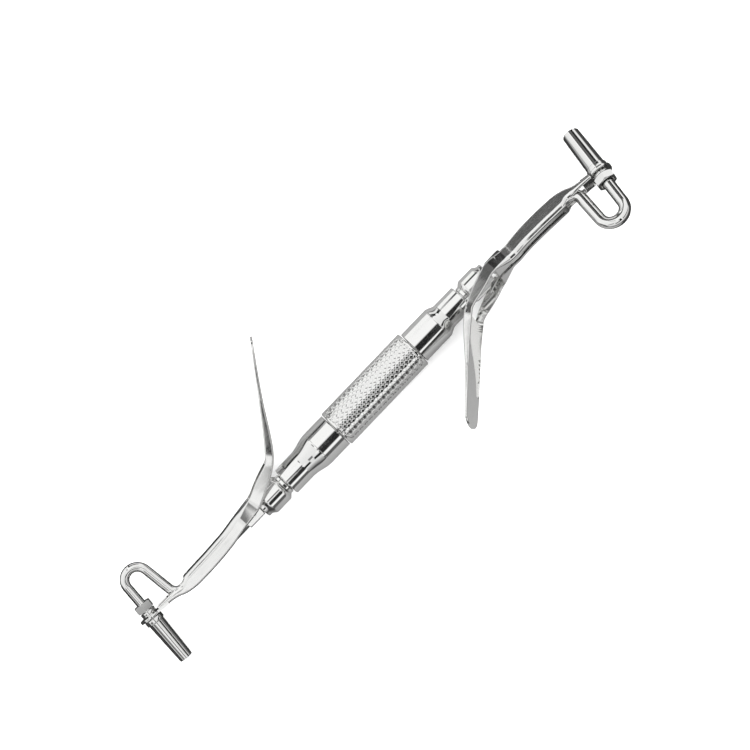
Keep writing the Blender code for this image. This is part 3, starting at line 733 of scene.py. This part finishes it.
def make_ferrule(name, end):
    """Ferrule with an ogee shoulder and a fine scribed line where the shoulder starts."""
    bore = CORE_RADIUS + GAP
    top = end["ferrule_end"]
    tip = FERRULE_TIP_RADIUS * end["girth"]
    base = FERRULE_RADIUS * end["girth"]
    rounding = FERRULE_TIP_ROUNDING
    profile = [(bore, top)] + arc((tip - rounding, top - rounding), rounding, 90.0, 0.0, count=8)
    shoulder, neck = end["shoulder"]
    for i in range(SHOULDER_STEPS + 1):
        share = i / SHOULDER_STEPS
        rise = 0.5 - 0.5 * math.cos(math.pi * share)
        profile.append((tip + (base - tip) * rise, neck + (shoulder - neck) * share))
    scribe = shoulder - SCRIBE_BEHIND
    profile += [(base, scribe), (base - SCRIBE_DEPTH, scribe - SCRIBE_HALF_WIDTH)]
    profile.append((base, scribe - 2.0 * SCRIBE_HALF_WIDTH))
    rounding = FERRULE_EDGE_ROUNDING
    profile += arc((base - rounding, FERRULE_START + rounding), rounding, 0.0, -90.0, count=5)
    profile.append((bore, FERRULE_START))
    shape = turned(profile)
    matrix = end_frame(name) @ LAY_ALONG_X
    node = "ferrule_" + name
    add_piece("ferrule_turned_" + name, shape, matrix, "handle", "polished_steel", node, sharp=25.0)


def make_collar(name, end):
    """Collar with both edges rounded over, its step, its neck and the stud inside the ferrule."""
    radius = COLLAR_RADIUS * end["girth"]
    step = COLLAR_STEP_RADIUS * end["girth"]
    neck = COLLAR_NECK_RADIUS * end["girth"]
    low = end["ferrule_end"] + COLLAR_START
    high = end["ferrule_end"] + COLLAR_END
    front = end["ferrule_end"] + COLLAR_FRONT
    behind = end["ferrule_end"] + GAP
    profile = [(0.0, front - SOCKET_DEPTH), (SOCKET_RADIUS, front - SOCKET_DEPTH), (SOCKET_RADIUS, front)]
    profile += [(step, front), (step, high), (radius, high - COLLAR_CHAMFER)]
    profile += [(radius, low + COLLAR_CHAMFER), (step, low), (neck, low), (neck, behind)]
    profile += [(CORE_RADIUS, behind), (CORE_RADIUS, CORE_HALF_LENGTH + GAP), (0.0, CORE_HALF_LENGTH + GAP)]
    shape = turned(rounded(profile, COLLAR_ROUNDING, steps=5, closed=False), closed=False)
    matrix = end_frame(name) @ LAY_ALONG_X
    node = "collar_" + name
    add_piece("collar_turned_" + name, shape, matrix, "handle", "polished_steel", node, sharp=24.0)


def rod_path(end):
    """Centre line of the bent rod in the open lever frame, from the boss to inside the nut."""
    eye, toward_mouth = barrel_line(end)
    lean = end["limb_lean"]
    bend_x = end["inner_limb"] - BEND_RADIUS
    points = [(x, 0.0) for x in (PIVOT[0] + ROD_PAST_PIVOT, *ROD_STRAIGHT)]
    points += arc((bend_x, -BEND_RADIUS), BEND_RADIUS, 90.0, math.degrees(lean), BEND_STEPS)
    foot = Vector(points[-1])
    limb = Vector((math.sin(lean), -math.cos(lean)))
    bottom = EYE_HEIGHT - end["loop_depth"]
    loop_radius = LOOP_FIRST_RADIUS
    for _ in range(LOOP_TRIES):
        centre_y = bottom + loop_radius
        inner_x = foot.x + limb.x * (centre_y - foot.y) / limb.y
        outer_x = eye.x + (centre_y - eye.y) * math.tan(BARREL_LEAN)
        gap = (outer_x - inner_x) * math.cos(0.5 * (BARREL_LEAN - lean))
        loop_radius = gap / (math.cos(0.5 * (BARREL_LEAN + lean)) * 2.0)
    start = 180.0 + math.degrees(lean)
    stop = 360.0 - math.degrees(BARREL_LEAN)
    points += arc((0.5 * (inner_x + outer_x), centre_y), loop_radius, start, stop, LOOP_STEPS)
    last = eye - toward_mouth * (stack_height(end) - LIMB_INTO_NUT)
    points.append((last.x, last.y))
    return points


def make_rod(name, end):
    """Tenon, boss and bent rod as one forged piece."""
    socket_end = end["ferrule_end"] + COLLAR_FRONT - SOCKET_DEPTH + GAP
    profile = [(0.0, BOSS_END), (BOSS_RADIUS, BOSS_END), (BOSS_RADIUS, BOSS_START)]
    profile += [(TENON_RADIUS, BOSS_START), (TENON_RADIUS, socket_end), (0.0, socket_end)]
    boss = turned(rounded(profile, BOSS_ROUNDING, steps=5, closed=False), THIN_ROUND, closed=False)
    boss.transform(LAY_ALONG_X)
    before = BOSS_START - CUT_MARGIN
    after = BOSS_END + CUT_MARGIN
    tools = []
    for sign in (1.0, -1.0):
        depths = sorted((sign * BOSS_HALF_WIDTH, sign * 2.0 * BOSS_RADIUS))
        side = box((before, -CUT_REACH, depths[0]), (after, CUT_REACH, depths[1]))
        tools.append(("DIFFERENCE", side))
    tools.append(("DIFFERENCE", box((before, BOSS_TOP, -CUT_REACH), (after, CUT_REACH, CUT_REACH))))
    path = [rest_point(end, point) for point in rod_path(end)]
    tools.append(("UNION", swept(path, end["rod_radius"])))
    hole = cylinder(PIN_HOLE_RADIUS, (*PIVOT, -CUT_REACH), (*PIVOT, CUT_REACH), HOLE_ROUND)
    tools.append(("DIFFERENCE", hole))
    shape = combine(boss, tools)
    matrix = end_frame(name)
    node = "plunger_rod_" + name
    add_piece("rod_bent_" + name, shape, matrix, "handle", "polished_steel", node, sharp=32.0)


def smooth_stations(samples):
    """Monotone cubic interpolation of LEVER_RUN, with extra stations between its rows."""
    rows = [Station(*row) for row in LEVER_RUN]
    pairs = list(zip(rows, rows[1:]))
    rises = [[(b - a) / (second.x - first.x) for a, b in zip(first, second)] for first, second in pairs]
    slopes = [rises[0]]
    for before, after in zip(rises, rises[1:]):
        slopes.append([2.0 * p * q / (p + q) if p * q > 0.0 else 0.0 for p, q in zip(before, after)])
    slopes.append(rises[-1])
    stations = []
    for (first, second), leaving, arriving in zip(pairs, slopes, slopes[1:]):
        step = second.x - first.x
        for j in range(samples):
            t = j / samples
            station = []
            for a, b, p, q in zip(first, second, leaving, arriving):
                curve = (2 * t**3 - 3 * t**2 + 1) * a + (3 * t**2 - 2 * t**3) * b
                bend = (t**3 - 2 * t**2 + t) * p + (t**3 - t**2) * q
                station.append(curve + bend * step)
            stations.append(Station(*station))
    stations.append(rows[-1])
    return stations


def tip_stations():
    """Round end of the finger plate, from the tip back to the first row of LEVER_RUN."""
    first = Station(*LEVER_RUN[0])
    stations = []
    for angle in TIP_ANGLES:
        share = 1.0 - math.cos(math.radians(angle))
        x = PLATE_TIP[0] + (first.x - PLATE_TIP[0]) * share
        y = PLATE_TIP[1] + (first.y - PLATE_TIP[1]) * share
        width = first.width * math.sin(math.radians(angle))
        stations.append(Station(x, y, first.slope, first.depth, width))
    return stations


def outward(end, station):
    """Fit a station to this end: turn its plate about the root, and scale its arm beyond the boss."""
    x, y, slope, depth, width = station
    if x < PLATE_ROOT[0]:
        dx = (x - PLATE_ROOT[0]) * end["plate_stretch"]
        dy = (y - PLATE_ROOT[1]) * end["plate_stretch"]
        turn = end["plate_turn"]
        x = PLATE_ROOT[0] + dx * math.cos(turn) + dy * math.sin(turn)
        y = PLATE_ROOT[1] + dy * math.cos(turn) - dx * math.sin(turn)
        slope -= math.degrees(turn)
    if x > OUTER_SCALE_FROM:
        x = OUTER_SCALE_FROM + (x - OUTER_SCALE_FROM) * end["reach"]
    if x > BOSS_END:
        share = min(1.0, (x - BOSS_END) / EXTRA_GROWS_OVER)
        fade = max(0.0, min(1.0, (EXTRA_DEPTH_UNTIL - x) / EXTRA_DEPTH_FADE))
        width += end["extra_width"] * share
        depth += end["extra_depth"] * share * fade
    return Station(x, y, slope, depth, width)


def section(station, half_width, top, bottom, top_corner, fold, steps):
    """Rounded rectangle across the lever: top and bottom are depths below the handle-side face."""
    angle = math.radians(station.slope)
    down = Vector((math.sin(angle), -math.cos(angle), 0.0))
    origin = Vector((station.x, station.y, 0.0))
    corners = (
        (1.0, bottom, 1.0, fold),
        (1.0, top, -1.0, top_corner),
        (-1.0, top, -1.0, top_corner),
        (-1.0, bottom, 1.0, fold),
    )
    turns = ((90.0, 0.0), (0.0, -90.0), (-90.0, -180.0), (180.0, 90.0))
    ring = []
    for (side, depth, sign, corner), (first, last) in zip(corners, turns):
        for i in range(steps + 1):
            turn = math.radians(first + (last - first) * (i / steps if steps else 0.0))
            across = side * (half_width - corner) + corner * math.cos(turn)
            below = depth - sign * corner + corner * math.sin(turn)
            ring.append(origin + down * below + Vector((0.0, 0.0, across)))
    return ring


def run_between(stations, start, stop):
    """Stations from start to stop, with the two limits put in by straight interpolation."""
    chosen = []
    for first, second in zip(stations, stations[1:]):
        for limit in (start, stop):
            if first.x < limit < second.x:
                share = (limit - first.x) / (second.x - first.x)
                chosen.append(Station(*(a + (b - a) * share for a, b in zip(first, second))))
        if start <= second.x <= stop:
            chosen.append(second)
    return sorted(set(chosen))


def inside_of_sheet(end):
    """Cutter for the inside of the folded sheet, stepping where a face of the sheet starts or stops."""
    between = smooth_stations(2 * RUN_SAMPLES)[1::2]
    last = Station(*LEVER_RUN[-1])
    between.append(last._replace(x=last.x + INSIDE_OVERRUN))
    rings = []
    for start, stop, top_wall, bottom_wall in INSIDE_STRETCHES:
        for station in run_between(between, start, stop):
            placed = outward(end, station)
            top = top_wall or -OPENING_MARGIN
            bottom = placed.depth - bottom_wall if bottom_wall else placed.depth + OPENING_MARGIN
            rings.append(section(placed, placed.width - WALL, top, bottom, 0.0, 0.0, 0))
    return loft(rings)


def strap_outline(end):
    """Flat strap that widens into the round eye, with the eye at the origin."""
    reach = end["eye"] - (OUTER_SCALE_FROM + (STRAP_START - OUTER_SCALE_FROM) * end["reach"])
    half = STRAP_HALF_WIDTH + 0.5 * end["extra_width"]
    open_angle = 180.0 - math.degrees(math.asin(half / EYE_RADIUS))
    outline = [(-reach, -half)]
    outline += arc((0.0, 0.0), EYE_RADIUS, -open_angle, open_angle, EYE_STEPS)
    outline.append((-reach, half))
    return outline


def make_lever(name, end):
    """One folded sheet: finger plate, ears, slotted channel arm, side rails and strap with its eye."""
    rings = []
    for station in tip_stations() + smooth_stations(RUN_SAMPLES):
        placed = outward(end, station)
        corner = min(SHEET_CORNER, CORNER_OF_DEPTH * station.depth)
        share = max(0.0, min(1.0, (station.x - FOLD_FROM) / (FOLD_FULL - FOLD_FROM)))
        fold = min(EDGE_RADIUS + (FOLD_RADIUS - EDGE_RADIUS) * share, FOLD_OF_DEPTH * station.depth)
        rings.append(section(placed, placed.width, 0.0, placed.depth, corner, fold, FOLD_STEPS))
    tools = []
    far = OUTER_SCALE_FROM + (SLOT_END - OUTER_SCALE_FROM) * end["reach"]
    slot = arc((SLOT_START, 0.0), SLOT_HALF_WIDTH, 90.0, 270.0, SLOT_STEPS)
    slot += arc((far - SLOT_HALF_WIDTH, 0.0), SLOT_HALF_WIDTH, -90.0, 90.0, SLOT_STEPS)
    cutter = slab(slot, SLOT_CUT_DEPTH)
    upright = Matrix.Rotation(math.pi / 2.0, 4, "X")
    cutter.transform(Matrix.Translation((0.0, SLOT_CUT_HEIGHT, 0.0)) @ upright)
    tools.append(("DIFFERENCE", cutter))
    tools.append(("DIFFERENCE", inside_of_sheet(end)))
    eye, toward_mouth = barrel_line(end)
    strap = slab(strap_outline(end), STRAP_THICKNESS)
    strap.transform(Matrix.Translation(eye) @ (Matrix.Rotation(-BARREL_LEAN, 4, "Z") @ upright))
    tools.append(("UNION", strap))
    reach = toward_mouth * EYE_CUT
    hole = cylinder(end["rod_radius"] + GAP, eye - reach, eye + reach, THIN_ROUND)
    tools.append(("DIFFERENCE", hole))
    shape = combine(loft(rings), tools, EDGE_SOFTENING)
    lever = "lever_" + name
    add_piece("lever_sheet_" + name, shape, lever_frame(name), lever, "satin_steel", lever, sharp=34.0)


def make_barrel_group(name, end):
    """Barrel with its flange, washer and hexagon nut on the strap's eye, and the plunger inside."""
    bore = end["rod_radius"] + GAP
    base = 0.5 * STRAP_THICKNESS + GAP
    top = end["barrel_length"]
    shoulder = base + end["flange_height"]
    lever = "lever_" + name
    matrix = barrel_frame(name)
    profile = [(bore, top), (end["barrel_mouth"], top), (end["barrel_base"], shoulder)]
    profile += [(end["flange_radius"], shoulder), (end["flange_radius"], base), (bore, base)]
    shape = turned(rounded(profile, BARREL_ROUNDING))
    add_piece("barrel_turned_" + name, shape, matrix, lever, "polished_steel", "barrel_" + name)

    low = -base - end["washer_height"]
    washer = [(bore, -base), (end["washer_radius"], -base), (end["washer_radius"], low), (bore, low)]
    shape = turned(rounded(washer, WASHER_ROUNDING, steps=3))
    add_piece("washer_turned_" + name, shape, matrix, lever, "polished_steel", "barrel_washer_" + name)

    nut_top = low - GAP
    nut_low = nut_top - end["nut_height"]
    corner = 0.5 * end["nut_across"] / math.cos(math.pi / 6.0)
    flat = 0.5 * end["nut_across"]
    inner = flat + NUT_CROWN_EXTRA
    outer = corner + NUT_CROWN_EXTRA
    hexagon = cylinder(corner, (0.0, 0.0, nut_low), (0.0, 0.0, nut_top), 6)
    crown = [(0.0, nut_low), (inner, nut_low), (outer, nut_low + NUT_CHAMFER)]
    crown += [(outer, nut_top - NUT_CHAMFER), (inner, nut_top), (0.0, nut_top)]
    thread_low = (0.0, 0.0, nut_low - THREAD_OVERRUN)
    thread_top = (0.0, 0.0, nut_top + THREAD_OVERRUN)
    thread = cylinder(end["rod_radius"] + THREAD_CLEARANCE, thread_low, thread_top, THIN_ROUND)
    tools = [("INTERSECT", turned(crown, closed=False)), ("DIFFERENCE", thread)]
    shape = combine(hexagon, tools, NUT_SOFTENING)
    add_piece("nut_hexagon_" + name, shape, matrix, lever, "polished_steel", "barrel_nut_" + name)

    eye, toward_mouth = barrel_line(end)
    arm = eye - Vector((*PIVOT, 0.0))
    stroke = abs(arm.cross(toward_mouth).z) * math.sin(LEVER_TRAVEL)
    radius = end["rod_radius"]
    tail = -stack_height(end) + PLUNGER_INSET
    tip = end["barrel_length"] - stroke - PLUNGER_SHORT
    profile = [(0.0, tip), (radius, tip), (radius, tail), (0.0, tail)]
    shape = turned(rounded(profile, PLUNGER_ROUNDING, closed=False), THIN_ROUND, closed=False)
    add_piece("plunger_turned_" + name, shape, matrix, "plunger_" + name, "polished_steel", "plunger_" + name)


def spring_path():
    """One turn about the pivot pin with a leg outward along the boss and one under the collar."""
    bottom = PIVOT[1] - SPRING_COIL_RADIUS
    points = [(PIVOT[0] + past, bottom, SPRING_COIL_START) for past in SPRING_SHORT_LEG]
    for i in range(SPRING_COIL_STEPS + 1):
        share = i / SPRING_COIL_STEPS
        angle = math.radians(-90.0 - 360.0 * share)
        x = PIVOT[0] + SPRING_COIL_RADIUS * math.cos(angle)
        y = PIVOT[1] + SPRING_COIL_RADIUS * math.sin(angle)
        points.append((x, y, SPRING_COIL_START - SPRING_COIL_PITCH * share))
    depth = SPRING_COIL_START - SPRING_COIL_PITCH
    points += [(x, y, depth + past) for x, y, past in SPRING_LONG_LEG]
    return points


def make_spring(name):
    """Return spring as a round wire."""
    curve = bpy.data.curves.new("return_wire_" + name, "CURVE")
    curve.dimensions = "3D"
    curve.bevel_depth = SPRING_WIRE_RADIUS
    curve.bevel_resolution = WIRE_RESOLUTION
    curve.use_fill_caps = True
    spline = curve.splines.new("POLY")
    path = spring_path()
    spline.points.add(len(path) - 1)
    for target, point in zip(spline.points, path):
        target.co = (*point, 1.0)
    holder = add_object("working", curve)
    shape = bmesh.new()
    shape.from_mesh(finished_mesh(holder))
    bmesh.ops.remove_doubles(shape, verts=shape.verts, dist=WIRE_WELD_DISTANCE)
    bpy.data.objects.remove(holder, do_unlink=True)
    node = "return_spring_" + name
    add_piece("spring_wire_" + name, shape, end_frame(name), "handle", "plain_steel", node, sharp=50.0)


def paint_kept_nodes():
    """CAD nodes that stay as they are, such as the pivot pins, get the fine steel too."""
    slots = {row["node"]: row["material_slot"] for row in frame["record"]["subparts"]}
    for name, node in frame["nodes"].items():
        if not node.hide_render:
            node.data.materials.clear()
            node.data.materials.append(LOOKS[slots[name]])


class Graph:
    """Short calls for building a node tree."""

    def __init__(self, tree):
        self.tree = tree

    def node(self, kind, **settings):
        """New node of a kind, with its settings."""
        made = self.tree.nodes.new(kind)
        for key, value in settings.items():
            setattr(made, key, value)
        return made

    def feed(self, socket, value):
        """Link a socket to an output, or set it to a plain value."""
        if isinstance(value, bpy.types.NodeSocket):
            self.tree.links.new(value, socket)
        else:
            socket.default_value = value

    def math(self, operation, *values):
        """Output of one maths operation."""
        made = self.node("ShaderNodeMath", operation=operation)
        for socket, value in zip(made.inputs, values):
            self.feed(socket, value)
        return made.outputs["Value"]

    def span(self, value, start, stop, low=0.0, high=1.0, smooth=True):
        """Value that goes from low to high as another goes from start to stop."""
        made = self.node("ShaderNodeMapRange", interpolation_type="SMOOTHSTEP" if smooth else "LINEAR")
        given = {"Value": value, "From Min": start, "From Max": stop, "To Min": low, "To Max": high}
        for name, setting in given.items():
            self.feed(made.inputs[name], setting)
        return made.outputs["Result"]

    def blend(self, share, first, second):
        """Mix of two values: the first where the share is 0, the second where it is 1."""
        made = self.node("ShaderNodeMix", data_type="FLOAT")
        self.feed(made.inputs["Factor"], share)
        self.feed(made.inputs["A"], first)
        self.feed(made.inputs["B"], second)
        return made.outputs["Result"]

    def ramp(self, value, stops):
        """Brightness by angle in degrees, for a value in radians."""
        made = self.node("ShaderNodeValToRGB")
        self.feed(made.inputs["Fac"], self.span(value, -math.pi, math.pi, smooth=False))
        elements = made.color_ramp.elements
        while len(elements) > 1:
            elements.remove(elements[-1])
        for i, (degrees, light) in enumerate(stops):
            position = (degrees + 180.0) / 360.0
            stop = elements[0] if i == 0 else elements.new(position)
            stop.position = position
            stop.color = (light, light, light, 1.0)
        return made.outputs["Color"]


def make_floor():
    """Plain pale floor. Glossy rays see it darker, and darker still away from the middle: a painted reflection in
    the steel.
    """
    half = FLOOR_HALF_SIZE
    corners = [(-half, -half, 0.0), (half, -half, 0.0), (half, half, 0.0), (-half, half, 0.0)]
    mesh = bpy.data.meshes.new("floor")
    mesh.from_pydata(corners, [], [(0, 1, 2, 3)])
    floor = add_object("floor", mesh)
    look = bpy.data.materials.new("pale_floor")
    look.use_nodes = True
    shader = look.node_tree.nodes["Principled BSDF"]
    shader.inputs["Roughness"].default_value = FLOOR_ROUGHNESS
    shader.inputs["Specular IOR Level"].default_value = FLOOR_SPECULAR
    graph = Graph(look.node_tree)
    place = graph.node("ShaderNodeSeparateXYZ")
    graph.feed(place.inputs["Vector"], graph.node("ShaderNodeTexCoord").outputs["Object"])
    out = graph.math("ABSOLUTE", graph.math("SUBTRACT", place.outputs["X"], FLOOR_MIDDLE))
    # Painted reflection: a made-up grey that only glossy rays see, lighter near the middle and near black further
    # out.
    reflected = graph.span(out, *FLOOR_PAINTED_REFLECTION_CHANGE, *FLOOR_PAINTED_REFLECTION)
    seen = graph.node("ShaderNodeLightPath").outputs["Is Glossy Ray"]
    graph.feed(shader.inputs["Base Color"], graph.blend(seen, FLOOR_TONE, reflected))
    mesh.materials.append(look)


def view_axes():
    """Unit vectors along the handle, across it in the view, and back towards the camera."""
    along = Vector((1.0, 0.0, 0.0))
    across = Vector((0.0, math.cos(VIEW_TILT), math.sin(VIEW_TILT)))
    back = Vector((0.0, -math.sin(VIEW_TILT), math.cos(VIEW_TILT)))
    return along, across, back


def make_studio():
    """Soft studio surround that the steel reflects, and an even white fill for the floor."""
    world = bpy.data.worlds.new("studio")
    bpy.context.scene.world = world
    world.use_nodes = True
    graph = Graph(world.node_tree)
    direction = graph.node("ShaderNodeTexCoord").outputs["Generated"]
    parts = []
    for axis in view_axes():
        dot = graph.node("ShaderNodeVectorMath", operation="DOT_PRODUCT")
        graph.feed(dot.inputs[0], direction)
        dot.inputs[1].default_value = axis
        parts.append(dot.outputs["Value"])
    out = graph.math("ABSOLUTE", parts[0])
    angle = graph.math("ARCTAN2", parts[1], parts[2])
    light = graph.ramp(angle, STUDIO_MIDDLE)
    light = graph.blend(graph.span(out, *OUTER_FROM), light, graph.ramp(angle, STUDIO_OUTER))
    light = graph.blend(graph.span(out, *SIDES_FROM), light, SIDES_LIGHT)
    soft_angle, soft_out = PATCH_EDGE
    for angle_from, angle_to, out_from, out_to, level in PATCHES:
        share = graph.span(angle, math.radians(angle_from), math.radians(angle_from + soft_angle))
        for value, start, stop in (
            (angle, math.radians(angle_to), math.radians(angle_to - soft_angle)),
            (parts[0], out_from, out_from + soft_out),
            (parts[0], out_to, out_to - soft_out),
        ):
            share = graph.math("MULTIPLY", share, graph.span(value, start, stop))
        light = graph.blend(share, light, level)
    reflected = world.node_tree.nodes["Background"]
    graph.feed(reflected.inputs["Color"], light)
    plain = graph.node("ShaderNodeBackground")
    plain.inputs["Color"].default_value = (1.0, 1.0, 1.0, 1.0)
    plain.inputs["Strength"].default_value = FILL_STRENGTH
    chosen = graph.node("ShaderNodeMixShader")
    graph.feed(chosen.inputs["Fac"], graph.node("ShaderNodeLightPath").outputs["Is Glossy Ray"])
    graph.feed(chosen.inputs[1], plain.outputs["Background"])
    graph.feed(chosen.inputs[2], reflected.outputs["Background"])
    graph.feed(world.node_tree.nodes["World Output"].inputs["Surface"], chosen.outputs["Shader"])
    bpy.context.scene.view_settings.view_transform = "Standard"


def make_camera():
    """Camera at the matched viewing angle."""
    low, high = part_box("grip_sleeve")
    centre = (low + high) * 0.5
    along, across, back = view_axes()
    right = along * math.cos(VIEW_TURN) - across * math.sin(VIEW_TURN)
    data = bpy.data.cameras.new("camera")
    data.sensor_width = SENSOR_WIDTH
    data.lens = data.sensor_width * VIEW_DISTANCE / VIEW_WIDTH
    data.shift_x, data.shift_y = VIEW_SHIFT
    data.clip_start = CLIP_START
    camera = add_object("camera", data)
    facing = Matrix((right, back.cross(right), back)).transposed().to_4x4()
    camera.matrix_world = Matrix.Translation(centre + back * VIEW_DISTANCE) @ facing
    bpy.context.scene.camera = camera


make_grip()
make_core()
for end_name, end_sizes in ENDS.items():
    make_ferrule(end_name, end_sizes)
    make_collar(end_name, end_sizes)
    make_rod(end_name, end_sizes)
    make_spring(end_name)
    make_lever(end_name, end_sizes)
    make_barrel_group(end_name, end_sizes)
paint_kept_nodes()
make_floor()
make_studio()
make_camera()
